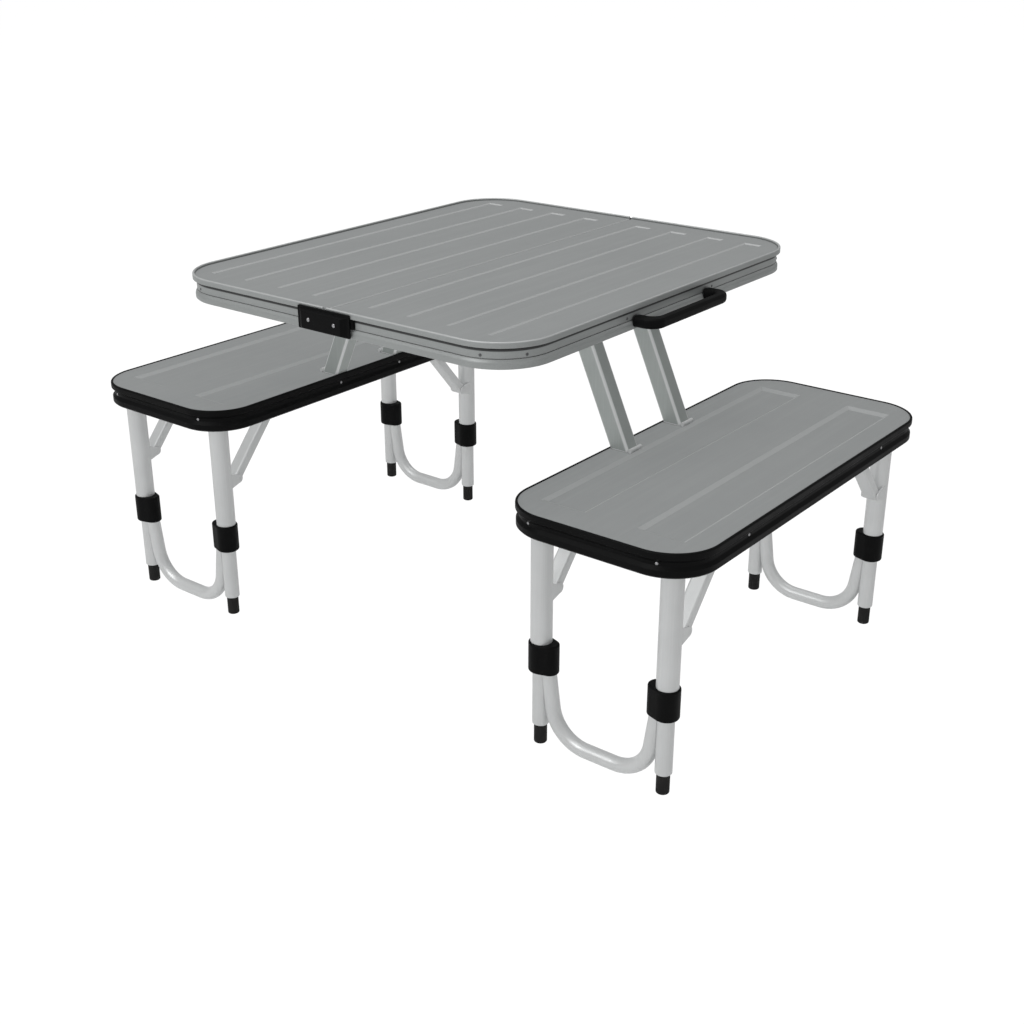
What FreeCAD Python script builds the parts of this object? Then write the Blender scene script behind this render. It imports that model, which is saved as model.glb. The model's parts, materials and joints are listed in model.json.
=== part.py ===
import FreeCAD, Part
import math
import os

# Folding picnic table with two benches, all dimensions in millimetres.
# Origin on the ground under the middle of the table. +X runs from bench to bench, +Y runs along
# the folding seam, +Z is up. The right half (+X) is modelled and mirrored in X = 0 for the left.

os.makedirs("parts", exist_ok=True)
V = FreeCAD.Vector
X_AXIS = V(1, 0, 0)
Y_AXIS = V(0, 1, 0)
Z_AXIS = V(0, 0, 1)
RUN = 0.05                      # radial running clearance of a pin in its hole

# Table top
TOP_HALF_X = 361.4              # half of the table's width
TOP_HALF_Y = 420.6              # half of the table's length along the seam
TOP_Z = 665.3                   # top of the lip
TOP_CORNER = 94.0
SEAM_GAP = 1.25                 # each half stops this far from the middle
LIP_W = 4.0
LIP_DROP = 4.1                  # sheet surface below the lip
SHEET_T = 4.0
SHEET_Z = TOP_Z - LIP_DROP      # upper surface of the sheet
UNDER_Z = SHEET_Z - SHEET_T     # underside of the sheet

# Rim of the table: lip, slot, set-back waist, crease and lower bead, from the top down
RIM_BOTTOM_Z = 624.0
SLOT_IN = 9.5                   # depth of the slot under the lip
SLOT_Z = (653.0, 656.0)
WAIST_IN = 6.0                  # depth of the waist
WAIST_Z = 643.8                 # height of the rivets in the waist
CREASE_IN = 7.2
CREASE_Z = (638.2, 639.6)
BEAD_IN = 3.0                   # outer face of the lower bead
BEAD_FOOT_IN = 4.0              # lower edge of the bead
BEAD_Z = (625.0, 630.5)
BEAD_SHOULDER = (3.9, 634.3)    # (depth, height) of a point on the bead's sloping shoulder
BEAD_TOP_Z = 637.2
WALL_IN = 11.5                  # inner face of the rim wall
LEDGE_IN = 18.0                 # inner edge of the ledge that carries the sheet
LEDGE_Z = 654.4                 # underside of the ledge

# Recessed panels of the table top
PANEL_FIRST = 60.4
PANEL_PITCH = 78.4
PANEL_COUNT = 4
PANEL_HALF_W = 17.4
PANEL_HALF_L = 370.6
PANEL_DEPTH = 2.2
PANEL_WALL = 2.2                # run of the sloping panel wall
PANEL_FLOOR_ROUND = 1.0
PANEL_TOP_ROUND = 2.0
SEAM_ROUND = 3.0

# Seam hinge: two pivot pins at each end of the seam, one for each half
PIN_X = 27.5
PIN_Z = 651.0
PIN_R = 3.0
PIN_END_Y = 427.5               # bottom of the pin hole in the block
PIN_PAST = 1.0                  # the pin runs this far out of the lug's inner face
SWING_R = 27.3                  # the lip is cut back to this radius about the pin
BLOCK_BACK_Y = 421.0
BLOCK_FLANGE_Y = 423.5          # outer face of the flat flange
BLOCK_FRONT_Y = 430.0
BLOCK_FLANGE_ROUND = 2.0
BLOCK_FACE_ROUND = 1.0
BLOCK_HALF_X = 54.5
BLOCK_Z = (625.5, 661.6)
BLOCK_FOOT_HALF_X = 50.5        # where the raised part meets the flange
BLOCK_FOOT_Z = (627.3, 657.8)
BLOCK_FACE_HALF_X = 41.0
BLOCK_FACE_Z = (629.0, 655.0)
BLOCK_RIVET_X = 27.0
BLOCK_RIVET_Z = 643.0
BLOCK_RIVET_R = 3.4
BLOCK_RIVET_SINK = 1.0          # depth of the rivet's seat
BLOCK_RIVET_HEIGHT = 1.6        # height of the dome above the seat's floor
BLOCK_RIVET_BALL = 5.0          # radius of the dome's curve
PLUG_X = (46.0, 58.5)
PLUG_Z = (640.0, 652.8)
PLUG_OUT_IN = 0.2               # the plug stays this far inside the lip's outer face
PLUG_ROUND = 3.5
RAIL_W = 12.0
RAIL_Z = 634.0
RAIL_WALL = 1.6
LUG_T = 12.0
LUG_Y = 409.0                   # outer face of the seam rail's end lugs
LUG_REACH = 9.0                 # the lug runs this far past the pin's axis
LUG_SHOULDER_Z = 642.0

# Rivets in the waist of the table rim
RIVET_R = 2.4
RIVET_SHANK_R = 1.2
RIVET_TAIL = 2.0                # length of shank inside the rim
RIVET_ANGLES = (26.5, 71.0)
RIVET_SIDE_Y = (-126.0, 126.0)
RIVET_DOME = 0.45               # height of a domed head over its radius

# Handle on the right rim
HANDLE_Y = (-114.0, 117.0)
HANDLE_X = 400.5
HANDLE_BAR = 16.0
HANDLE_LEG = 22.0
HANDLE_Z = (627.5, 645.0)
HANDLE_ROUND = 26.0
HANDLE_HOLE_ROUND = 16.0
HANDLE_EDGE = 6.0
HANDLE_ROOT_Z = 643.0           # top of the two roots that reach into the waist
HANDLE_ROOT_LAP = 1.0

# Benches
BENCH_X = (305.9, 645.3)
BENCH_MID = 475.6
BENCH_HALF_Y = 394.6
BENCH_Z = 413.4                 # top of the bench lip
BENCH_H = 39.3
BENCH_CORNER = 80.0
BENCH_LIP_W = 4.0
BENCH_LIP_ROUND = 2.5
SEAT_Z = 411.9                  # surface of the bench sheet
SEAT_UNDER_Z = 406.6
SEAT_PANEL_X = 85.3
SEAT_PANEL_HALF = (39.9, 336.2)
SEAT_FLOOR_HALF = (32.7, 327.2)
SEAT_PANEL_DEPTH = 4.0
BENCH_WALL_IN = 7.5
BENCH_LEDGE_IN = 12.0
BENCH_LEDGE_Z = 404.0           # underside of the ledge
BENCH_NOTCH_IN = 5.6
BENCH_NOTCH_Z = (386.0, 391.7, 397.5, 403.6)    # lower slope, flat floor, upper slope
BENCH_FLANK_IN = 1.2            # outer face of the rim below the notch
BENCH_FLANK_Z = 377.0
BENCH_FOOT_IN = 4.0
BENCH_RIVET_Z = 394.6
BENCH_RIVET_R = 2.6
BENCH_RIVET_SHANK_R = 1.2
BENCH_RIVET_TAIL = 3.5
BENCH_RIVET_ANGLE = 73.0
BENCH_RIVET_OUTER_Y = 222.0
BENCH_RIVET_INNER_Y = 81.5

# Leaning struts between the table half and its bench
STRUT_Y = 80.0
STRUT_MID = (328.0, 412.0)      # a point (x, z) of the strut's centre line
STRUT_LEAN = math.atan(0.45)
STRUT_W = 33.0
STRUT_D = 32.0
STRUT_ROUND = 5.0
STRUT_WALL = 1.8
STRUT_PIVOT = (269.5, 609.0)    # upper pivot (x, z)
STRUT_PIN_R = 4.0
STRUT_END = 60.0                # a strut body is drawn this far past its reference point, then cut
STRUT_OVER = 10.0               # length of strut above the foot of the upper pivot
LUG_R = 7.0
CAP_T = 2.5
FOOT_Z = 412.2
FOOT_T = 1.5
FOOT_PLUG = 28.0                # height of the plug inside the tube's lower end
CAP_PLUG = 22.0                 # length of the plug inside the tube's upper end
LUG_FOOT = 26.0                 # the upper lug meets the tube this far below its pivot
LUG_SINK = 1.0                  # the lug reaches this far into the tube's face
LUG_STEP = 4.0                  # and stands this high on it at the upper end
LUG_TOE = 0.5                   # and this high at the lower end
BASE_PIVOT = (348.6, 415.5)     # hinge line (x, z) at the foot of the strut
KNUCKLE_R = 3.5
KNUCKLE_W = 7.5                 # length of a fixed knuckle
KNUCKLE_GAP = 0.3
KNUCKLE_HALF = 8.0
BASE_PIN_R = 2.0
BASE_WEB = 8.0
BASE_TAB_T = 2.6

# Channels under the table half that hold the struts
CHANNEL_IN = 18.5               # half of the inner width
CHANNEL_WALL = 2.5
CHANNEL_X = (13.6, 343.2)
CHANNEL_Z = 632.0
CHANNEL_WEB = 2.0
CHANNEL_EAR_HALF = 16.0         # half width of the ear where it leaves the channel
CHANNEL_EAR_LAP = 2.0           # the ear overlaps the channel's wall by this much
PIVOT_HEAD_T = 1.6
PIVOT_HEAD_RIM = 1.6

# Legs
LEG_X = 114.8                   # from the middle of the bench
LEG_Y = 345.7
LEG_PIVOT_Z = 388.0
LEG_TOP_Z = 392.0
LEG_R = 17.3
LEG_WALL = 1.8
COLLAR_Z = (131.0, 182.0)
COLLAR_R = 20.3
COLLAR_LOBE_R = 15.6
COLLAR_LOBE_X = 16.0
COLLAR_ROUND = 3.0
COLLAR_SEAT_Z = 150.0           # the upper tube ends here inside the collar
LOWER_R = 13.5
LOWER_BORE_R = 10.65
LOWER_Z = (34.4, 240.0)
LOWER_ROUND = 2.2
FOOT_R = 10.6
FOOT_TOP_Z = 60.0
SOLE_ROUND = 2.5
LEG_PIN_R = 3.0
EAR_IN = 18.3
EAR_T = 2.5
EAR_HALF_Y = 13.0
EAR_NOSE_R = 8.0
EAR_TAPER_Z = 6.0               # drop of the tapered lower edge below the pivot
EAR_TAPER_Y = 5.5
EAR_FOOT = 6.5                  # reach of the bracket's foot under the seat
EAR_FOOT_T = 2.0
LEG_HEAD_T = 1.5
LEG_HEAD_RIM = 2.0

# U-shaped stretcher between two legs
STRETCHER_R = 12.1
STRETCHER_WALL = 1.6
STRETCHER_BEND = 65.0
STRETCHER_BEND_X = 88.2         # centre of the bend, from the leg axis
STRETCHER_BEND_Z = 80.5
STRETCHER_LEAN = math.radians(8.0)
STRETCHER_TOP_Z = 140.0
COPE_R = 13.9

# Diagonal braces
BRACE_LOW = (319.0, 266.0)      # lower pivot (|y|, z)
BRACE_HIGH = (213.0, 388.0)     # upper end (|y|, z)
BRACE_W = 26.0
BRACE_T = 17.5
BRACE_ROUND = 4.0
BRACE_PIN_R = 3.0
CLEVIS_IN = 13.3
CLEVIS_OUT = 15.5
CLEVIS_R = 8.0
CLEVIS_ROOT = 16.0              # half height of the clevis where it leaves the leg
GUIDE_IN = 16.0
GUIDE_T = 1.5
GUIDE_Z = 391.5
GUIDE_HALF_Y = 236.0
GUIDE_PLAY = 0.1                # the brace's upper pin stops this short of each guide wall

BEYOND = 30.0                   # how far a cutting tool reaches past the piece it cuts


# ---------------------------------------------------------------- helpers

def box(x, y, z):
    """Box from three (low, high) pairs, given in any order."""
    low = V(min(x), min(y), min(z))
    return Part.makeBox(max(x) - low.x, max(y) - low.y, max(z) - low.z, low)


def cyl(r, start, end):
    """Round bar between two points."""
    return Part.makeCylinder(r, (end - start).Length, start, end - start)


def bar_x(r, x, y, z):
    """Round bar along X from x[0] to x[1]."""
    return cyl(r, V(x[0], y, z), V(x[1], y, z))


def bar_y(r, x, y, z):
    """Round bar along Y from y[0] to y[1]."""
    return cyl(r, V(x, y[0], z), V(x, y[1], z))


def fuse(shapes):
    """One clean solid out of several that touch or overlap."""
    return shapes[0].multiFuse(shapes[1:]).removeSplitter()


def polygon(points):
    return Part.Face(Part.makePolygon(points + points[:1]))


def prism_y(points, y0, y1):
    """Outline of (x, z) points extruded from y0 to y1."""
    return polygon([V(x, y0, z) for x, z in points]).extrude(V(0, y1 - y0, 0))


def rounded_rect(x0, x1, y0, y1, r0, r1, z):
    """Rectangle wire at height z; r0 rounds the corners at x0 and r1 those at x1."""
    corners = [(x0, y0, r0, 180), (x1, y0, r1, 270), (x1, y1, r1, 0), (x0, y1, r0, 90)]
    edges = []
    ends = []
    for x, y, r, start in corners:
        if r == 0:
            ends.append((V(x, y, z), V(x, y, z)))
            continue
        c = V(x + r if x == x0 else x - r, y + r if y == y0 else y - r, z)
        turn = [math.radians(start + a) for a in (0, 45, 90)]
        p = [c + V(r * math.cos(a), r * math.sin(a), 0) for a in turn]
        edges.append(Part.Arc(p[0], p[1], p[2]).toShape())
        ends.append((p[0], p[2]))
    for k in range(4):
        a = ends[k][1]
        b = ends[(k + 1) % 4][0]
        if (b - a).Length > 0.001:
            edges.append(Part.makeLine(a, b))
    return Part.Wire(Part.__sortEdges__(edges))


def plate(x0, x1, half_y, r0, r1, z0, z1):
    """Flat plate with rounded corners, symmetric in Y."""
    return Part.Face(rounded_rect(x0, x1, -half_y, half_y, r0, r1, z0)).extrude(V(0, 0, z1 - z0))


def section(outline, origin, inward):
    """Closed profile of (u, z) points; a (middle, end) pair of points is an arc."""
    def place(p):
        return origin + inward * p[0] + V(0, 0, p[1])

    edges = []
    here = outline[0]
    for step in outline[1:] + outline[:1]:
        if isinstance(step[0], tuple):
            edges.append(Part.Arc(place(here), place(step[0]), place(step[1])).toShape())
            here = step[1]
        elif step != here:
            edges.append(Part.makeLine(place(here), place(step)))
            here = step
    return Part.Face(Part.Wire(edges))


def rim(outline, x0, x1, half_y, corner, closed):
    """Profile carried round a rounded rectangle; an open rim has no side at x0."""
    c1 = x1 - corner
    c0 = x0 + corner if closed else x0
    cy = half_y - corner
    pieces = [section(outline, V(x1, -cy, 0), -X_AXIS).extrude(V(0, 2 * cy, 0))]
    for s in (-1, 1):
        inward = Y_AXIS * -s
        pieces.append(section(outline, V(c0, s * half_y, 0), inward).extrude(V(c1 - c0, 0, 0)))
        end = section(outline, V(c1, s * half_y, 0), inward)
        pieces.append(end.revolve(V(c1, s * cy, 0), Z_AXIS, -s * 90))
        if closed:
            start = section(outline, V(c0, s * half_y, 0), inward)
            pieces.append(start.revolve(V(c0, s * cy, 0), Z_AXIS, s * 90))
    if closed:
        pieces.append(section(outline, V(x0, -cy, 0), X_AXIS).extrude(V(0, 2 * cy, 0)))
    return fuse(pieces)


def recess(x, half_top, half_floor, top, depth):
    """Tapered pocket centred on x, for cutting a panel into a sheet."""
    lift = 0.2                  # the cutting body stands this much above the sheet
    grow = 1 + lift / depth
    fx, fy = half_floor
    hx = fx + (half_top[0] - fx) * grow
    hy = fy + (half_top[1] - fy) * grow
    low = rounded_rect(x - fx, x + fx, -fy, fy, PANEL_FLOOR_ROUND, PANEL_FLOOR_ROUND, top - depth)
    high = rounded_rect(x - hx, x + hx, -hy, hy, PANEL_TOP_ROUND, PANEL_TOP_ROUND, top + lift)
    return Part.makeLoft([low, high], True, True)


def rivet(r, shank_r, shank, at, out):
    """Domed head on a shank; at is the centre of the head's seat, out its direction."""
    height = RIVET_DOME * r
    sphere_r = (r * r + height * height) / (2 * height)
    ball = Part.makeSphere(sphere_r, at + out * (height - sphere_r))
    head = ball.common(cyl(r, at, at + out * (height + 0.1)))
    return head.fuse(cyl(shank_r, at - out * shank, at + out * 0.1)).removeSplitter()


def mirrored(shape):
    return shape.mirror(V(0, 0, 0), X_AXIS)


def export(name, solids):
    shape = solids[0] if len(solids) == 1 else Part.makeCompound(solids)
    shape.exportStep("parts/" + name + ".step")


def export_pair(name, solids, tail=""):
    """The same node for the right side and, mirrored, for the left."""
    export(name + "_right" + tail, solids)
    export(name + "_left" + tail, [mirrored(s) for s in solids])


# ---------------------------------------------------------------- seam hinge

def block_outline(half_x, z, y):
    """Rectangle wire in the XZ plane at y."""
    return Part.makePolygon([V(-half_x, y, z[0]), V(half_x, y, z[0]), V(half_x, y, z[1]),
                             V(-half_x, y, z[1]), V(-half_x, y, z[0])])


def hinge_block(side):
    """End block that carries the pins of both halves; side is -1 or +1 in Y."""
    back = side * BLOCK_BACK_Y
    flange_y = side * BLOCK_FLANGE_Y
    front = side * BLOCK_FRONT_Y
    flange = box((-BLOCK_HALF_X, BLOCK_HALF_X), (back, flange_y), BLOCK_Z)
    corners = [e for e in flange.Edges if e.BoundBox.YLength > BLOCK_FLANGE_Y - BLOCK_BACK_Y - 0.1
               and e.BoundBox.XLength < 0.1]
    flange = flange.makeFillet(BLOCK_FLANGE_ROUND, corners)
    raised = Part.makeLoft([block_outline(BLOCK_FOOT_HALF_X, BLOCK_FOOT_Z, flange_y),
                            block_outline(BLOCK_FACE_HALF_X, BLOCK_FACE_Z, front)], True, True)
    raised = raised.makeFillet(BLOCK_FACE_ROUND, [e for e in raised.Edges
                                                  if abs(e.CenterOfMass.y - flange_y) > 0.1])
    shape = fuse([flange, raised])
    for s in (-1, 1):
        shape = shape.cut(bar_y(PIN_R, s * PIN_X, (back - side, side * PIN_END_Y), PIN_Z))
        seat = (front - side * BLOCK_RIVET_SINK, front + side)
        shape = shape.cut(bar_y(BLOCK_RIVET_R, s * BLOCK_RIVET_X, seat, BLOCK_RIVET_Z))
    return shape


def hinge_pins():
    """Four pivot pins and the four domed rivets in the faces of the blocks."""
    inner = LUG_Y - LUG_T - PIN_PAST
    floor = BLOCK_FRONT_Y - BLOCK_RIVET_SINK
    solids = []
    for side in (-1, 1):
        for s in (-1, 1):
            solids.append(bar_y(PIN_R, s * PIN_X, (side * inner, side * PIN_END_Y), PIN_Z))
            seat = V(s * BLOCK_RIVET_X, side * floor, BLOCK_RIVET_Z)
            out = Y_AXIS * side
            dome = Part.makeSphere(BLOCK_RIVET_BALL, seat + out * (BLOCK_RIVET_HEIGHT - BLOCK_RIVET_BALL))
            solids.append(dome.common(cyl(BLOCK_RIVET_R, seat, seat + out * 2)))
    return solids


def hinge_plugs():
    """Black plugs that close the right half's waist at both ends of the seam."""
    solids = []
    for side in (-1, 1):
        y = (side * (TOP_HALF_Y - WAIST_IN), side * (TOP_HALF_Y - PLUG_OUT_IN))
        plug = box(PLUG_X, y, PLUG_Z)
        corner = [e for e in plug.Edges if abs(e.CenterOfMass.x - PLUG_X[1]) < 0.01
                  and abs(e.CenterOfMass.y - y[1]) < 0.01]
        solids.append(plug.makeFillet(PLUG_ROUND, corner))
    return solids


# ---------------------------------------------------------------- table half

def table_sheet():
    """Grey sheet of the right half with its four long recessed panels."""
    inset = LIP_W
    shape = plate(SEAM_GAP, TOP_HALF_X - inset, TOP_HALF_Y - inset, 0, TOP_CORNER - inset,
                  UNDER_Z, SHEET_Z)
    seam_edge = [e for e in shape.Edges
                 if abs(e.CenterOfMass.x - SEAM_GAP) < 0.01 and abs(e.CenterOfMass.z - SHEET_Z) < 0.01]
    shape = shape.makeFillet(SEAM_ROUND, seam_edge)
    floor = (PANEL_HALF_W - PANEL_WALL, PANEL_HALF_L - PANEL_WALL)
    for k in range(PANEL_COUNT):
        x = PANEL_FIRST + PANEL_PITCH * k
        shape = shape.cut(recess(x, (PANEL_HALF_W, PANEL_HALF_L), floor, SHEET_Z, PANEL_DEPTH))
    return shape


def rim_rivet_seats():
    """Seat point and outward direction of every rivet in the right half's rim."""
    seats = []
    cx = TOP_HALF_X - TOP_CORNER
    cy = TOP_HALF_Y - TOP_CORNER
    r = TOP_CORNER - WAIST_IN
    for s in (-1, 1):
        for angle in RIVET_ANGLES:
            a = math.radians(angle)
            out = V(math.cos(a), s * math.sin(a), 0)
            seats.append((V(cx, s * cy, WAIST_Z) + out * r, out))
    for y in RIVET_SIDE_Y:
        seats.append((V(TOP_HALF_X - WAIST_IN, y, WAIST_Z), X_AXIS))
    return seats


def table_rim():
    """Aluminium rim of the right half: round lip, dark slot, waist, lower bead, ledge for the sheet."""
    r = LIP_W / 2
    outline = [(0, SLOT_Z[1]), (0, TOP_Z - r), ((r, TOP_Z), (LIP_W, TOP_Z - r)), (LIP_W, UNDER_Z),
               (LEDGE_IN, UNDER_Z), (LEDGE_IN, LEDGE_Z), (WALL_IN, LEDGE_Z), (WALL_IN, RIM_BOTTOM_Z),
               (BEAD_FOOT_IN, RIM_BOTTOM_Z), (BEAD_IN, BEAD_Z[0]), (BEAD_IN, BEAD_Z[1]),
               (BEAD_SHOULDER, (WAIST_IN, BEAD_TOP_Z)), (WAIST_IN, CREASE_Z[0]),
               (CREASE_IN, CREASE_Z[0]), (CREASE_IN, CREASE_Z[1]), (WAIST_IN, CREASE_Z[1]),
               (WAIST_IN, SLOT_Z[0]), (SLOT_IN, SLOT_Z[0]), (SLOT_IN, SLOT_Z[1])]
    shape = rim(outline, SEAM_GAP, TOP_HALF_X, TOP_HALF_Y, TOP_CORNER, False)
    across = (-TOP_HALF_Y - 1, TOP_HALF_Y + 1)
    swept = bar_y(SWING_R, PIN_X, across, PIN_Z)
    shape = shape.cut(box((0, PIN_X), across, (PIN_Z, TOP_Z + 1)).cut(swept))
    shape = shape.cut(bar_y(PIN_R + RUN, PIN_X, across, PIN_Z))
    for at, out in rim_rivet_seats():
        shape = shape.cut(cyl(RIVET_SHANK_R + RUN, at - out * LEDGE_IN, at + out))
    return shape


def seam_rail(rim_shape):
    """Box rail along the seam; the solid lugs at its ends turn on the seam pins."""
    x1 = SEAM_GAP + RAIL_W
    inner = LUG_Y - LUG_T
    tube = box((SEAM_GAP, x1), (-inner, inner), (RAIL_Z, UNDER_Z))
    t = RAIL_WALL
    tube = tube.cut(box((SEAM_GAP + t, x1 - t), (-inner, inner), (RAIL_Z + t, UNDER_Z - t)))
    end_x = PIN_X + LUG_REACH
    lug_outline = [(SEAM_GAP, RAIL_Z), (x1, RAIL_Z), (end_x, LUG_SHOULDER_Z), (end_x, UNDER_Z),
                   (SEAM_GAP, UNDER_Z)]
    lugs = []
    for s in (-1, 1):
        lug = prism_y(lug_outline, s * inner, s * LUG_Y)
        lugs.append(lug.cut(bar_y(PIN_R + RUN, PIN_X, (s * inner - s, s * LUG_Y + s), PIN_Z)))
    return fuse([tube] + lugs).cut(rim_shape)


def rim_rivets():
    return [rivet(RIVET_R, RIVET_SHANK_R, WALL_IN - WAIST_IN + RIVET_TAIL, at, out)
            for at, out in rim_rivet_seats()]


def handle_layers(outline):
    """Solid through outline(inset, z), its upper and lower edges rounded in short facets."""
    steps = [math.radians(a) for a in (0, 30, 60, 90)]
    levels = [(HANDLE_EDGE * (1 - math.sin(a)), HANDLE_EDGE * (1 - math.cos(a))) for a in steps]
    wires = [outline(inset, HANDLE_Z[0] + rise) for inset, rise in levels]
    wires += [outline(inset, HANDLE_Z[1] - rise) for inset, rise in reversed(levels)]
    return Part.makeLoft(wires, True, True)


def handle():
    """Moulded C-shaped carrying grip seated in the waist of the right rim."""
    y0, y1 = HANDLE_Y
    bead_x = TOP_HALF_X - BEAD_IN
    waist_x = TOP_HALF_X - WAIST_IN
    hole_x = HANDLE_X - HANDLE_BAR

    def outside(inset, z):
        return rounded_rect(bead_x, HANDLE_X - inset, y0 + inset, y1 - inset,
                            0, HANDLE_ROUND - inset, z)

    def inside(inset, z):
        return rounded_rect(bead_x - BEYOND, hole_x + inset, y0 + HANDLE_LEG - inset,
                            y1 - HANDLE_LEG + inset, 0, HANDLE_HOLE_ROUND + inset, z)

    shape = handle_layers(outside).cut(handle_layers(inside))
    roots = []
    for y in (y0 + HANDLE_EDGE, y1 - HANDLE_LEG + HANDLE_EDGE):
        span = (y, y + HANDLE_LEG - 2 * HANDLE_EDGE)
        roots.append(box((waist_x, bead_x + HANDLE_ROOT_LAP), span, (BEAD_TOP_Z, HANDLE_ROOT_Z)))
    return fuse([shape] + roots)


def ear(y, x, z, top_z, half_top):
    """Plate across Y pair y, hanging from top_z down to a round end about (x, z)."""
    flank = prism_y([(x - LUG_R, z), (x + LUG_R, z), (x + half_top, top_z), (x - half_top, top_z)],
                    y[0], y[1])
    return fuse([flank, bar_y(LUG_R, x, y, z)])


def strut_channels():
    """Two inverted-U channels under the sheet; their ears hold the upper strut pivots."""
    x, z = STRUT_PIVOT
    outer = CHANNEL_IN + CHANNEL_WALL
    solids = []
    for s in (-1, 1):
        mid = s * STRUT_Y
        pieces = [box(CHANNEL_X, (mid - outer, mid + outer), (UNDER_Z - CHANNEL_WEB, UNDER_Z))]
        for side in (-1, 1):
            y = (mid + side * CHANNEL_IN, mid + side * outer)
            pieces.append(box(CHANNEL_X, y, (CHANNEL_Z, UNDER_Z)))
            pieces.append(ear(y, x, z, CHANNEL_Z + CHANNEL_EAR_LAP, CHANNEL_EAR_HALF))
        hole = bar_y(STRUT_PIN_R, x, (mid - outer - 1, mid + outer + 1), z)
        solids.append(fuse(pieces).cut(hole))
    return solids


def strut_pivot_pins():
    """Upper strut pivots with a flat head on each side."""
    x, z = STRUT_PIVOT
    outer = CHANNEL_IN + CHANNEL_WALL
    head = PIVOT_HEAD_T
    solids = []
    for s in (-1, 1):
        mid = s * STRUT_Y
        pieces = [bar_y(STRUT_PIN_R, x, (mid - outer - head, mid + outer + head), z)]
        for side in (-1, 1):
            y = mid + side * outer
            pieces.append(bar_y(STRUT_PIN_R + PIVOT_HEAD_RIM, x, (y, y + side * head), z))
        solids.append(fuse(pieces))
    return solids


# ---------------------------------------------------------------- struts

STRUT_DIR = V(math.sin(STRUT_LEAN), 0, -math.cos(STRUT_LEAN))     # down the strut
STRUT_OUT = V(math.cos(STRUT_LEAN), 0, math.sin(STRUT_LEAN))      # away from the table centre


def strut_point(t, n, y):
    """Point t down the strut from its reference point, n outward of the centre line."""
    base = V(STRUT_MID[0], y, STRUT_MID[1])
    return base + STRUT_DIR * t + STRUT_OUT * n


def strut_pivot_t():
    """Position of the upper pivot's foot along the strut."""
    return (V(STRUT_PIVOT[0], 0, STRUT_PIVOT[1]) - V(STRUT_MID[0], 0, STRUT_MID[1])).dot(STRUT_DIR)


def strut_pivot_n():
    """Distance of the upper pivot from the strut's centre line."""
    return (V(STRUT_PIVOT[0], 0, STRUT_PIVOT[1]) - V(STRUT_MID[0], 0, STRUT_MID[1])).dot(STRUT_OUT)


def strut_bar(y, inset, t0, t1):
    """Rounded square bar along the strut from t0 to t1, its faces moved in by inset."""
    hw = STRUT_W / 2 - inset
    hd = STRUT_D / 2 - inset
    r = STRUT_ROUND - inset
    flat = Part.Face(rounded_rect(-hw, hw, -hd, hd, r, r, 0)).extrude(V(0, 0, t1 - t0))
    start = strut_point(t0, 0, y)
    turn = FreeCAD.Rotation(STRUT_OUT, Y_AXIS, STRUT_DIR)
    flat.Placement = FreeCAD.Placement(start, turn)
    return flat


def foot_slab(y, z0, z1):
    """Level slab round the foot of the strut at y."""
    reach = (STRUT_MID[0] - 2 * BEYOND, STRUT_MID[0] + 2 * BEYOND)
    return box(reach, (y - BEYOND, y + BEYOND), (z0, z1))


def struts():
    """Two square tubes, square at the top and cut level at the foot."""
    top = strut_pivot_t() - STRUT_OVER + CAP_T
    solids = []
    for s in (-1, 1):
        y = s * STRUT_Y
        tube = strut_bar(y, 0, top, STRUT_END).cut(strut_bar(y, STRUT_WALL, top, STRUT_END))
        solids.append(tube.cut(foot_slab(y, FOOT_Z - 2 * STRUT_END, FOOT_Z + FOOT_T)))
    return solids


def strut_head(y):
    """Cap in the upper end of the strut at y, with the lug that turns on the upper pivot."""
    px, pz = STRUT_PIVOT
    t_pin = strut_pivot_t()
    n_pin = strut_pivot_n()
    t_end = t_pin - STRUT_OVER
    t_tube = t_end + CAP_T
    half_w = STRUT_W / 2
    half_lug = STRUT_D / 2 - LUG_SINK
    t_foot = t_pin + LUG_FOOT
    n_root = half_w - LUG_SINK
    outline = ((t_end, n_root), (t_end, half_w + LUG_STEP), (t_pin - LUG_R, n_pin),
               (t_pin + LUG_R, n_pin), (t_foot, half_w + LUG_TOE), (t_foot, n_root))
    lug = polygon([strut_point(t, n, y - half_lug) for t, n in outline])
    lug = lug.extrude(V(0, 2 * half_lug, 0))
    half_ring = CHANNEL_IN - KNUCKLE_GAP
    ring = bar_y(LUG_R, px, (y - half_ring, y + half_ring), pz)
    head = fuse([strut_bar(y, 0, t_end, t_tube),
                 strut_bar(y, STRUT_WALL, t_end, t_tube + CAP_PLUG), lug, ring])
    head = head.cut(strut_bar(y, 0, t_tube, STRUT_END).cut(strut_bar(y, STRUT_WALL, t_tube, STRUT_END)))
    return head.cut(bar_y(STRUT_PIN_R + RUN, px, (y - BEYOND, y + BEYOND), pz))


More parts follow.
